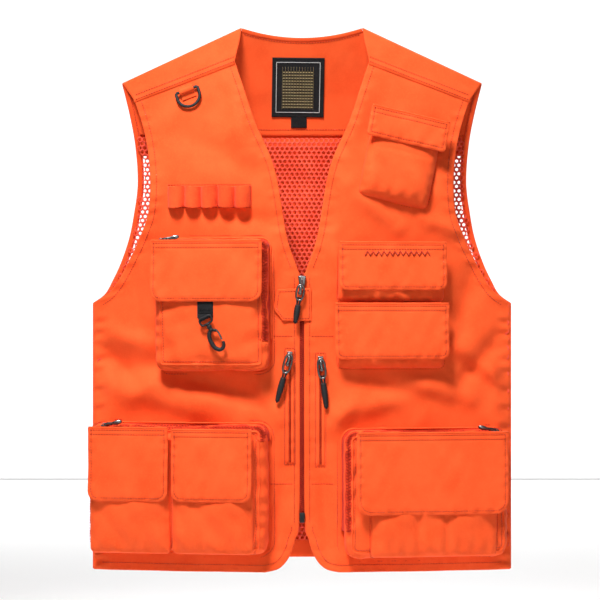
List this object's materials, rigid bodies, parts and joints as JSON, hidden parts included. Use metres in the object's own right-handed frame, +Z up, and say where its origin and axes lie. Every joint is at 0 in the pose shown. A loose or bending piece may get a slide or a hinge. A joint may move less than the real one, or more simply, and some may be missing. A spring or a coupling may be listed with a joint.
{
  "type": "utility vest",
  "caption": "Blaze orange sleeveless field vest with a mesh lining, zip front, flapped and zipped pockets, cartridge loops, a D-ring and a snap hook.",
  "frame": {"origin": "middle of the back neckline, where the vest hangs on a hanger or on the neck", "axes": "+Z up; the front faces -Y; +X is the wearer's left, and to the right as the front is looked at"},
  "size_m": [0.5293, 0.1346, 0.681],
  "materials": {
    "shell_cloth": "matt woven polyester, bright orange",
    "binding": "folded woven tape, bright orange",
    "mesh": "open knitted netting, red orange",
    "zip_tape": "woven zip tape, orange",
    "zip_teeth": "moulded zip teeth, orange",
    "elastic": "ribbed elastic, orange",
    "label": "black woven satin",
    "webbing": "black ribbed webbing",
    "black_plastic": "black acetal, lightly worn",
    "puller": "black cord and moulded end",
    "nickel": "nickel plate"
  },
  "bodies": {
    "shell": {"back_shell": "shell_cloth", "back_yoke": "shell_cloth", "neck_facing": "shell_cloth", "back_mesh_lining": "mesh", "back_hem_facing": "shell_cloth", "neck_binding": "binding", "right_armhole_binding": "binding", "left_armhole_binding": "binding", "right_front": "shell_cloth", "right_yoke": "shell_cloth", "left_front": "shell_cloth", "left_yoke": "shell_cloth", "neck_label": "label", "right_zip_tape": "zip_tape", "right_zip_teeth": "zip_teeth", "left_zip_tape": "zip_tape", "left_zip_teeth": "zip_teeth", "zip_box": "black_plastic", "right_welt_zip": "zip_tape", "right_pocket_bag": "mesh", "left_welt_zip": "zip_tape", "left_pocket_bag": "mesh", "cartridge_loops": "elastic", "d_ring_loop": "shell_cloth", "camera_pocket_zip": "zip_tape", "hook_strap": "webbing", "camera_pocket": "shell_cloth", "right_lower_zip": "zip_tape", "right_lower_pocket": "shell_cloth", "right_outer_patch_pocket": "shell_cloth", "right_inner_patch_pocket": "shell_cloth", "chest_pocket": "shell_cloth", "left_mid_upper_pocket": "shell_cloth", "left_mid_lower_pocket": "shell_cloth", "left_lower_zip": "zip_tape", "left_lower_pocket": "shell_cloth", "left_patch_pocket": "shell_cloth"},
    "size_tag": {"size_tag": "label"},
    "main_slider": {"main_slider": "nickel"},
    "main_puller": {"main_puller": "puller"},
    "closure_tab": {"closure_tab": "shell_cloth"},
    "right_welt_slider": {"right_welt_slider": "nickel"},
    "right_welt_puller": {"right_welt_puller": "puller"},
    "left_welt_slider": {"left_welt_slider": "nickel"},
    "left_welt_puller": {"left_welt_puller": "puller"},
    "d_ring": {"d_ring": "black_plastic"},
    "camera_pocket_slider": {"camera_pocket_slider": "nickel"},
    "camera_pocket_flap": {"camera_pocket_flap": "shell_cloth"},
    "hook_eye": {"hook_eye": "black_plastic"},
    "snap_hook": {"snap_hook": "black_plastic"},
    "hook_gate": {"hook_gate": "nickel"},
    "right_lower_slider": {"right_lower_slider": "nickel"},
    "right_outer_patch_flap": {"right_outer_patch_flap": "shell_cloth"},
    "right_inner_patch_flap": {"right_inner_patch_flap": "shell_cloth"},
    "chest_flap": {"chest_flap": "shell_cloth"},
    "left_mid_upper_flap": {"left_mid_upper_flap": "shell_cloth"},
    "left_mid_lower_flap": {"left_mid_lower_flap": "shell_cloth"},
    "left_lower_slider": {"left_lower_slider": "nickel"},
    "left_patch_flap": {"left_patch_flap": "shell_cloth"}
  },
  "joints": [
    {"name": "size_tag_flip", "type": "hinge", "parent": "shell", "child": "size_tag", "pos_m": [-0.004, 0.02971, -0.0985], "axis": [-1, 0, 0], "range_deg": [0, 80]},
    {"name": "main_zip", "type": "slide", "parent": "shell", "child": "main_slider", "axis": [0, 0, 1], "range_m": [-0.27, 0]},
    {"name": "main_pull_swing", "type": "hinge", "parent": "main_slider", "child": "main_puller", "pos_m": [-0.001, -0.0578, -0.312], "axis": [-0.9872, 0.0013, 0.1593], "range_deg": [0, 120]},
    {"name": "closure_tab_lift", "type": "hinge", "parent": "shell", "child": "closure_tab", "pos_m": [0.01, -0.0503, -0.336], "axis": [0, 0, 1], "range_deg": [0, 150], "deforming": ["closure_tab"]},
    {"name": "right_welt_zip_run", "type": "slide", "parent": "shell", "child": "right_welt_slider", "axis": [0, 0, 1], "range_m": [-0.121, 0]},
    {"name": "right_welt_pull_swing", "type": "hinge", "parent": "right_welt_slider", "child": "right_welt_puller", "pos_m": [-0.01502, -0.05445, -0.398], "axis": [-0.9636, 0.0193, 0.2667], "range_deg": [0, 120]},
    {"name": "left_welt_zip_run", "type": "slide", "parent": "shell", "child": "left_welt_slider", "axis": [0, 0, 1], "range_m": [-0.118, 0]},
    {"name": "left_welt_pull_swing", "type": "hinge", "parent": "left_welt_slider", "child": "left_welt_puller", "pos_m": [0.02303, -0.05425, -0.404], "axis": [-0.9923, -0.0305, -0.1197], "range_deg": [0, 120]},
    {"name": "d_ring_swing", "type": "hinge", "parent": "shell", "child": "d_ring", "pos_m": [-0.14437, -0.01801, -0.06803], "axis": [-0.9351, 0.0884, -0.3432], "range_deg": [0, 140]},
    {"name": "camera_zip_run", "type": "slide", "parent": "shell", "child": "camera_pocket_slider", "axis": [0.9895, -0.1447, 0], "range_m": [0, 0.105]},
    {"name": "camera_flap_lift", "type": "hinge", "parent": "shell", "child": "camera_pocket_flap", "pos_m": [-0.11911, -0.07123, -0.257], "axis": [-0.9895, 0.1447, 0], "range_deg": [0, 160]},
    {"name": "hook_swing", "type": "hinge", "parent": "shell", "child": "hook_eye", "pos_m": [-0.12079, -0.07584, -0.352], "axis": [-0.8587, 0.1255, -0.4969], "range_deg": [0, 110]},
    {"name": "hook_swivel", "type": "hinge", "parent": "hook_eye", "child": "snap_hook", "pos_m": [-0.11627, -0.0765, -0.35998], "axis": [-0.4917, 0.0719, 0.8678], "continuous": true},
    {"name": "gate_press", "type": "hinge", "parent": "snap_hook", "child": "hook_gate", "pos_m": [-0.10534, -0.0781, -0.3668], "axis": [0.1447, 0.9895, 0], "range_deg": [0, 22]},
    {"name": "right_lower_zip_run", "type": "slide", "parent": "shell", "child": "right_lower_slider", "axis": [0.9801, -0.1983, 0], "range_m": [0, 0.17]},
    {"name": "right_outer_flap_lift", "type": "hinge", "parent": "shell", "child": "right_outer_patch_flap", "pos_m": [-0.21632, -0.06068, -0.489], "axis": [-0.9801, 0.1983, 0], "range_deg": [0, 160]},
    {"name": "right_inner_flap_lift", "type": "hinge", "parent": "shell", "child": "right_inner_patch_flap", "pos_m": [-0.11242, -0.0817, -0.491], "axis": [-0.9801, 0.1983, 0], "range_deg": [0, 160]},
    {"name": "chest_flap_lift", "type": "hinge", "parent": "shell", "child": "chest_flap", "pos_m": [0.13653, -0.04505, -0.09851], "axis": [-0.9614, -0.1697, 0.2168], "range_deg": [0, 150]},
    {"name": "left_upper_flap_lift", "type": "hinge", "parent": "shell", "child": "left_mid_upper_flap", "pos_m": [0.11334, -0.05591, -0.259], "axis": [-0.9894, -0.1453, 0], "range_deg": [0, 160]},
    {"name": "left_middle_flap_lift", "type": "hinge", "parent": "shell", "child": "left_mid_lower_flap", "pos_m": [0.11235, -0.05605, -0.335], "axis": [-0.9894, -0.1453, 0], "range_deg": [0, 120]},
    {"name": "left_lower_zip_run", "type": "slide", "parent": "shell", "child": "left_lower_slider", "axis": [0.98, 0.1989, 0], "range_m": [-0.165, 0]},
    {"name": "left_lower_flap_lift", "type": "hinge", "parent": "shell", "child": "left_patch_flap", "pos_m": [0.16263, -0.06746, -0.495], "axis": [-0.98, -0.1989, 0], "range_deg": [0, 160]}
  ]
}
